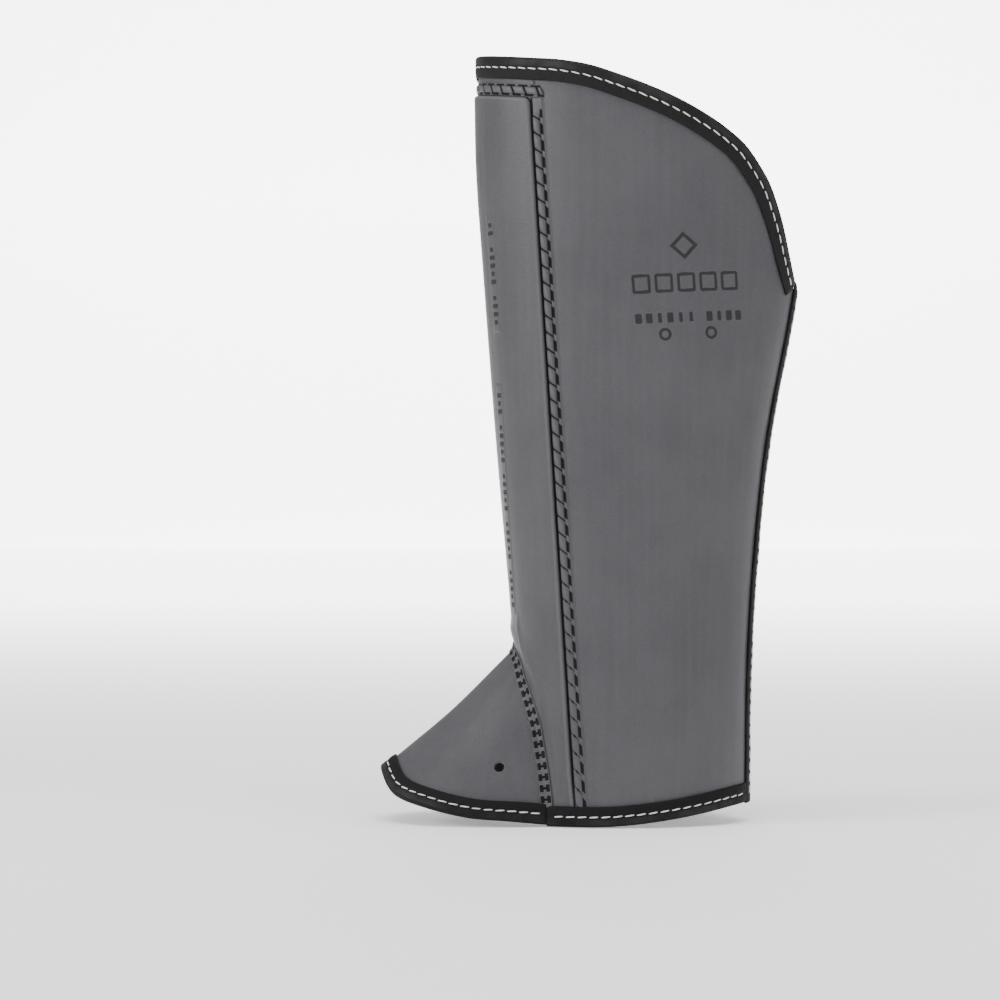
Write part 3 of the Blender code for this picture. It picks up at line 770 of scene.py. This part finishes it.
def pacing(path, width):
    """The path's t at even steps of its stitch line, and the line's length in millimetres."""
    t = np.linspace(0, 1, 600)
    line = path(t, np.full(600, width / 2), np.full(600, TAPE_OUT))
    run = np.concatenate([[0], np.cumsum(np.linalg.norm(np.diff(line, axis=0), axis=1))])
    return run, t


def tape(name, path, width, finish):
    """A tape along a path, its middle dimpled at each stitch hole, and swelling a little between."""
    run, t = pacing(path, width)
    steps = int(run[-1] / 1.3)
    at = np.linspace(0, run[-1], steps + 1)
    profile = tape_profile(width)
    depth, lift = (np.tile(profile[:, k], (steps + 1, 1)) for k in (0, 1))
    near = np.exp(-((depth - width / 2) / 2.4) ** 2) * (np.arange(len(profile)) < 37)
    hole = np.cos(2 * np.pi * at[:, None] / STITCH_PITCH)
    puff = 0.1 * np.sin(at[:, None] / 9.7) + 0.07 * np.sin(at[:, None] / 4.3 + 1)
    lift = lift + np.sign(lift + 1.3) * (near * -0.14 * hole + puff * (lift > TAPE_OUT - 0.1))
    loops = path(np.interp(at, run, t)[:, None] + 0 * depth, depth, lift)
    cloth = np.stack(np.broadcast_arrays(at[:, None], np.arange(len(profile))[None] * 0.7), -1)
    return tubes(name, loops[None], finish, cloth)


def stitching(name, path, width):
    """Running stitches down the middle of a tape, on both its faces: short round strands, slightly slanted,
    that rise from one hole and sink into the next. Radius and height follow sqrt(1 - a^4), a from -1 to 1."""
    run, t = pacing(path, width)
    count = int((run[-1] - 2) / STITCH_PITCH)
    first = (run[-1] - count * STITCH_PITCH) / 2 + STITCH_PITCH / 2
    middle = first + STITCH_PITCH * np.arange(count)[:, None, None]
    a = np.array([-1, -0.86, -0.5, 0, 0.5, 0.86, 1])[None, :, None]
    turn = np.arange(6)[None, None, :] * np.pi / 3
    arch = np.sqrt(1 - 0.96 * a ** 4)
    at = np.interp(middle + a * STITCH_LONG / 2, run, t)
    loops = []
    for height, sense in ((TAPE_OUT + 0.34, 1), (TAPE_IN - 0.05, -1)):
        depth = width / 2 + 0.2 * sense * a + STITCH_RADIUS * arch * np.cos(turn)
        lift = height + sense * 0.42 * (arch - 1) + 0.85 * STITCH_RADIUS * arch * np.sin(turn)
        shape = np.broadcast(at, depth).shape
        flat = [np.broadcast_to(value, shape).ravel() for value in (at, depth, lift)]
        loops.append(path(*flat).reshape(*shape, 3))
    return tubes(name, np.concatenate(loops), WHITE_THREAD)


def bind(name, path, width, finish, nodes):
    """A tape and its stitching, named alike, each standing for its frame nodes."""
    strip, strands = tape(f"{name}_tape", path, width, finish), stitching(f"{name}_stitching", path, width)
    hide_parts(*nodes)
    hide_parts(*(node.replace("binding", "thread") for node in nodes))
    pacing(path, width)[0][-1] * MM
    return strip, strands


TOP_WIDTH, HEM_WIDTH, CLEAR = 12.0, 11.0, 0.4


def beside_arch(depth):
    """Share on the hem just behind the seam arch, at a depth above it."""
    return np.interp(depth, ARCH_LINE[::-1, 1], ARCH_LINE[::-1, 0])


for name, side in SIDES:
    rear = 1 + (wing_end(side) - HEM_WIDTH - CLEAR) / half(300)
    foot = 1 + (wing_end(side) - HEM_WIDTH - CLEAR) / half(10)
    whose = ["top_binding_front"] if side > 0 else []
    pieces = bind(f"{name}_top", edge_path(TOP_LINE, -1, side, lambda depth: 0 * depth, rear), TOP_WIDTH,
                  TOP_BLACK, whose + [f"{name}_top_binding"])
    pieces += bind(f"{name}_hem", edge_path(HEM_LINE, 1, side, beside_arch, foot), HEM_WIDTH, SHADED_HEM_BLACK,
                   [f"hem_binding_front_{name}", f"{name}_hem_binding"])
    for piece in pieces:
        bend_over_fold(piece, side)
    for piece in bind(f"{name}_rear", rear_path(side), HEM_WIDTH, TOP_BLACK, [f"{name}_rear_binding"]):
        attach(piece, f"{name}_wing")

# ---- Instep flap ------------------------------------------------------------------------------------------
# The flap runs forward over the laces from the seam arch to its own taped lip. A tie passes through the
# hole punched at each side.

HOLE_RADIUS, HOLE_ACROSS, HOLE_UP = 2.75, 0.615, 0.45
SPAN = 0.995


def mirrored(run, values, sign):
    """A curve's knots carried over to the other side of its start, with the values' sign there."""
    return np.concatenate([-run[:0:-1], run]), np.concatenate([sign * values[:0:-1], values])


def lip(t):
    """The flap's lower edge, from the nose (t = 0) to the seam on either side (t = -1, 1)."""
    span = np.linspace(0, 1, len(LIP))
    return np.stack([smooth(*mirrored(span, LIP[:, k], (1, -1, 1)[k]), t) for k in range(3)], -1)


def seam(t, lift=0.0):
    """The arch where the flap is welded on, from its top (t = 0) to the hem on either side."""
    share, z = (smooth(*mirrored(ARCH_RUN / ARCH_RUN[-1], ARCH[:, k], (-1, 1)[k]), t) for k in (0, 1))
    return skin(share, z, 2.0 * (1 - t * t) + lift)


def flap_base(u, v):
    """Flap between lip (v = 0) and seam (v = 1): a Coons patch over its four edges, sagging forwards."""
    one, column, across = np.ones_like(u), v[..., None], (u[..., None] + 1) / 2
    leg = 1 - v * (1 - ARCH_SPLIT)
    rows = (1 - column) * lip(u) + column * seam(ARCH_SPLIT * u)
    sides = (1 - across) * seam(-leg) + across * seam(leg)
    corners = ((1 - column) * ((1 - across) * lip(-one) + across * lip(one))
               + column * ((1 - across) * seam(-ARCH_SPLIT * one) + across * seam(ARCH_SPLIT * one)))
    sag = 2.4 * np.sin(np.pi * v) * (1 - u * u) ** 2
    return rows + sides - corners + sag[..., None] * np.array([0.5, 0, -0.5])


def flap(u, v, lift):
    """Points at a lift along the patch's normal."""
    u, v, lift = np.broadcast_arrays(u, v, lift)
    du = flap_base(u + 1e-3, v) - flap_base(u - 1e-3, v)
    dv = flap_base(u, v + 1e-3) - flap_base(u, v - 1e-3)
    normal = np.cross(du, dv)
    normal /= np.linalg.norm(normal, axis=-1)[..., None]
    return flap_base(u, v) + lift[..., None] * normal


def flap_length(u):
    """Length of the patch's line from lip to seam at each u."""
    lines = np.stack([flap_base(u, np.full(u.shape, v)) for v in np.linspace(0, 1, 25)])
    return np.linalg.norm(np.diff(lines, axis=0), axis=-1).sum(0)


def punch(sheet):
    """Cut both tie holes through a sheet, square to it, and keep the result as its mesh."""
    for side in (1, -1):
        at = HOLE_ACROSS * side, HOLE_UP
        inner, outer = (flap(*at, lift) for lift in (-8.0, 6.0))
        tool = bmesh.new()
        bmesh.ops.create_cone(tool, cap_ends=True, segments=48, radius1=HOLE_RADIUS * MM,
                              radius2=HOLE_RADIUS * MM, depth=14 * MM)
        shape = bpy.data.meshes.new("punch")
        tool.to_mesh(shape)
        tool.free()
        cutter = bpy.data.objects.new("punch", shape)
        cutter.location = (inner + outer) / 2 * MM
        cutter.rotation_euler = Vector(outer - inner).to_track_quat("Z", "Y").to_euler()
        bpy.context.scene.collection.objects.link(cutter)
        cut = sheet.modifiers.new("punch", "BOOLEAN")
        cut.operation, cut.solver, cut.object = "DIFFERENCE", "EXACT", cutter
        whole = bpy.data.meshes.new_from_object(sheet.evaluated_get(bpy.context.evaluated_depsgraph_get()))
        sheet.modifiers.clear()
        sheet.data = whole
        bpy.data.objects.remove(cutter)


seam_points = seam(np.linspace(-1, 1, 81))
chord = seam_points[40] - seam_points[80] * (1, 0, 1)
forward = np.array([-chord[2], 0, chord[0]]) / np.hypot(chord[0], chord[2])
hold = (seam_points @ forward).max() + 2
FLAP_START, FLAP_END = (tuple(forward * distance * MM) for distance in (hold, hold + 24))


def lift_with_flap(piece):
    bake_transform(piece)


for name, (out, back), finish, trim, node in (("flap_skin", (0, LAYER), SHELL_GREY, EDGE_TRIM, "flap_shell"),
                                              ("flap_lining_knit", (LINING_OUT, LINING_IN), LINING_BLACK, 2.4,
                                               "flap_lining")):
    u, v = np.meshgrid(np.linspace(-SPAN, SPAN, 190), np.linspace(0, 1, 80))
    low = trim / flap_length(u[0])
    v = low + v * (SPAN - low)
    crease = 0.18 * np.sin(9 * v + 2 * u) * np.sin(np.pi * v) * (out == 0)
    sheet = two_faced(name, flap(u, v, out + crease), flap(u, v, back + crease), finish,
                      0 * u if out == 0 else None)
    punch(sheet)
    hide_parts(node)
    lift_with_flap(sheet)
    "shell_laminate" if out == 0 else "lining_cloth"


def flap_path(t, depth, lift):
    """Path along the flap's lip; depth runs up the patch."""
    across = np.broadcast_to((2 * t - 1) * SPAN, np.broadcast(t, depth).shape)
    rows = np.linspace(-SPAN, SPAN, 101)
    return flap(across, depth / np.interp(across, rows, flap_length(rows)), lift)


for piece in bind("flap", flap_path, HEM_WIDTH, SHADED_HEM_BLACK, ["flap_binding"]):
    lift_with_flap(piece)

# ---- Seam ladder ------------------------------------------------------------------------------------------
# Flap and pocket are joined by a ladder weld along the arch: two files of square pits with bars between them,
# bitten into a low rounded band. It stays on the shin panel.

LADDER_HALF, LADDER_PITCH = 3.5, 6.0


def unit(vector):
    return vector / np.linalg.norm(vector, axis=-1)[:, None]


def ladder_frame(t):
    """Middle of the seam at t, with unit vectors out of it, up the panel and down the flap."""
    middle, along = seam(t), unit(seam(t + 1e-3) - seam(t - 1e-3))
    out = unit(seam(t, 1.0) - middle)
    up = unit(np.cross(out, along))
    up *= np.sign(up[:, 2:] + 1e-9)
    side, one = np.where(t < 0, -1.0, 1.0), np.ones_like(t)
    leg, top = np.clip((1 - np.abs(t)) / (1 - ARCH_SPLIT), 0.0, 0.97), np.clip(t / ARCH_SPLIT, -0.97, 0.97)
    from_top = unit(flap_base(top, 0.93 * one) - flap_base(top, one))
    from_side = unit(flap_base(0.93 * side, leg) - flap_base(side, leg))
    part = ease(np.abs(t), ARCH_SPLIT - 0.1, ARCH_SPLIT + 0.1)[:, None]
    down = (1 - part) * from_top + part * from_side
    return middle, along, out, up, unit(down - (down * along).sum(-1)[:, None] * along)


run = np.linspace(0, 1, 700)
foot = np.interp(9.0, seam(run)[::-1, 2], run[::-1])
t = np.linspace(-foot, foot, 720)
middle, along, out, up, down = (vector[:, None] for vector in ladder_frame(t))
length = np.concatenate([[0], np.cumsum(np.linalg.norm(np.diff(middle[:, 0], axis=0), axis=1))])[:, None]
across = np.linspace(-LADDER_HALF, LADDER_HALF, 27)[None]
above, below = ((value + np.sqrt(value ** 2 + 0.3)) / 2 for value in (across, -across))
base = middle + above[..., None] * up + below[..., None] * down
facing = np.cross(along + 0 * base, np.gradient(base, axis=1))
facing /= np.linalg.norm(facing, axis=-1)[..., None]
facing *= np.sign((facing * out).sum(-1))[..., None]
run = length - length[-1] / 2
pits = tick(run, LADDER_PITCH, 3.9) * band(np.abs(across), 1.0, 3.0)
rungs = tick(run, LADDER_PITCH, 1.3) * band(np.abs(across), -1, 1.2)
height = 0.35 + 0.75 * np.sqrt(1 - (across / LADDER_HALF) ** 2).clip(0) + 0 * run
# Painted shade in the pits and the narrow middle grooves, and a painted highlight (rim) round each pit.
rim = tick(run, LADDER_PITCH, 5.2) * band(np.abs(across), 0.6, 3.4)
groove = np.clip(1.5 * (pits + rungs) - 0.45 * rim, -0.5, 1)
ladder = two_faced("seam_ladder", base + (height - 0.7 * pits - 0.4 * rungs)[..., None] * facing,
                   base - 0.9 * facing, SHELL_GREY, groove)
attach(ladder, "shin_front")

# ---- Hook and loop closure --------------------------------------------------------------------------------
# The outer wing carries a strip of black hook tape inside its rear edge, and the inner wing the loop tape it
# presses on. Each strip is woven with a flat selvedge and a field of fine hooks or brushed loops.


def pile(name, dark, light, scale, depth):
    """Rows of tiny tufts as a cell pattern, tangled by noise."""
    made, place, wear = finish_of(name, 0.9, Specular_IOR_Level=0.25, Sheen_Weight=0.3)
    tuft = place.node("ShaderNodeTexVoronoi", Vector=place, Scale=scale, Randomness=0.35)
    tangle = noise(place, scale * 0.7, 4.0, 0.7)
    wear(Base_Color=(tuft * 0.6 + tangle * 0.5).tint(dark, light),
         Normal=tuft.node("ShaderNodeBump", Strength=0.8, Distance=depth, Height=tangle - tuft))
    return made


for name, node, body, side, near, width, (out, back), finish in (
    ("hook_tape", "hook_strip", "lateral_wing", 1, -44.5, 28.0, (-3.1, -4.3),
     pile("hook_tape_black", (0.008, 0.008, 0.009), (0.05, 0.05, 0.052), 720.0, 0.0005)),
    ("loop_tape", "loop_strip", "medial_wing", -1, 16.0, 30.0, (-4.8, -6.0),
     pile("loop_tape_black", (0.012, 0.012, 0.013), (0.045, 0.045, 0.047), 1100.0, 0.0008)),
):
    u, v = np.meshgrid(np.linspace(0, width, 46), np.linspace(0, 236, 220))
    z = 24 + v
    share = side * (1 + (near + u) / half(z))
    rim = 0.35 * (1 - ease(np.minimum(np.minimum(u, width - u), np.minimum(v, 236 - v)), 0.4, 2.2))
    facing = (0, rim) if out > -4 else (rim, 0)
    strip = two_faced(name, skin(share, z, out - facing[0]), skin(share, z, back + facing[1]), finish)
    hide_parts(node)
    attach(strip, body)
    width * MM

# ---- Pressed marks ----------------------------------------------------------------------------------------
# A hot die has pressed plain marks into the laminate: a lozenge, a row of blocks, dashes and rings on the
# outer side, and two upright rows of dashes on the pocket. None of them spells anything.

MARK_RAISED, MARK_DEPTH, MARK_SHADE, MARK_PITCH = 0.34, 0.22, 0.62, 4.4


def block(x, y, wide, tall, corner=0.6):
    """Distance outside a rounded rectangle round the origin, negative inside it."""
    p, q = np.abs(x) - wide / 2 + corner, np.abs(y) - tall / 2 + corner
    return np.hypot(p.clip(0), q.clip(0)) + np.minimum(np.maximum(p, q), 0) - corner


def filled(distance, edge=0.16):
    return 1 - ease(distance, -edge, edge)


def outlined(distance, width):
    return filled(np.abs(distance + width / 2) - width / 2)


def side_marks(x, y):
    """Lozenge, five blocks, ten dashes and two rings, from top to bottom, about the middle of the marks."""
    tilt = y - 0.05 * x
    lozenge = (np.abs(x) / 1.05 + np.abs(tilt - 19.5)) * 0.72 - 5.4
    marks = outlined(lozenge, 2.0)
    for k in range(5):
        marks = np.maximum(marks, outlined(block(x - 12.2 * (k - 2), tilt, 10.2, 10.4, 1.6), 1.8))
    for k, wide in enumerate((3.6, 3.6, 2.2, 3.6, 2.2, 2.2, 3.6, 2.2, 3.6, 3.6)):
        shift = 5.7 * (k - 4.5) + (3 if k > 5 else -1.5)
        marks = np.maximum(marks, filled(block(x - shift, tilt + 18.4, wide, 5.4, 0.8)))
    for shift in (-13.5, 12.0):
        marks = np.maximum(marks, outlined(np.hypot(x - shift, tilt + 27.2) - 3.5, 1.7))
    return marks


def pocket_marks(x, y):
    """One upright row of short dashes, some wide and some narrow."""
    marks = 0 * x
    count = int((y.max() - 3) / MARK_PITCH)
    for k in range(-count, count + 1):
        if k % 6 != 4:
            marks = np.maximum(marks, filled(block(x, y - MARK_PITCH * k, 5.2 if k % 3 else 3.4, 2.6, 0.7)))
    return marks


for name, run, level, wide, tall, slope, rest, pattern, finish, slot in (
    ("side_marks", 133.5, 292.0, 76.0, 76.0, 0.0, 0.0, side_marks, SHELL_GREY, "shell_laminate"),
    ("pocket_marks_upper", 21.6, 299.0, 9.0, 66.0, 0.0, POCKET_HEIGHT, pocket_marks, SHADED_FRONT_GREY,
     "pocket_laminate"),
    ("pocket_marks_lower", 15.6, 175.6, 9.0, 128.0, 0.05, POCKET_HEIGHT, pocket_marks, SHADED_FRONT_GREY,
     "pocket_laminate"),
):
    x, y = np.meshgrid(np.linspace(-wide / 2, wide / 2, int(wide / 0.38)),
                       np.linspace(-tall / 2, tall / 2, int(tall / 0.4)))
    z = level + y
    share = (run + slope * y + x) / half(z)
    inwards = np.minimum(wide / 2 - np.abs(x), tall / 2 - np.abs(y))
    marks = pattern(x, y)
    if rest:
        ground = rest + 0.22 * swell(share * 182, z, 0.7)
    else:
        ground = 0.3 * swell(share * 182, z, 1.9)
    height = ground + MARK_RAISED * ease(inwards, 0.2, min(8.0, wide / 4)) - 0.04 - MARK_DEPTH * marks
    # The marks are painted dark (MARK_SHADE) as shade in their recesses.
    patch = two_faced(name, skin(share, z, height), skin(share, z, ground - 0.5), finish, MARK_SHADE * marks)
    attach(patch, "shin_front" if rest else "lateral_wing")

# ---- Splints ----------------------------------------------------------------------------------------------
# Three flat splints of translucent polypropylene stand in the pocket, extruded with fine ribs along them.

SPLINT_WHITE, place, wear = finish_of("splint_polypropylene", 0.35, Specular_IOR_Level=0.5)
ribs = noise(place, 500.0, 2.0, 0.5, stretch=(1, 1, 0.02))
wear(Base_Color=noise(place, 20.0).tint((0.66, 0.67, 0.67), (0.8, 0.81, 0.8)), Roughness=ribs * 0.2 + 0.28,
     Normal=ribs.node("ShaderNodeBump", Strength=0.4, Distance=0.0002, Height=ribs))
for name in ("splint_lateral", "splint_centre", "splint_medial"):
    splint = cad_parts[name]
    splint.data.materials.clear()
    splint.data.materials.append(SPLINT_WHITE)
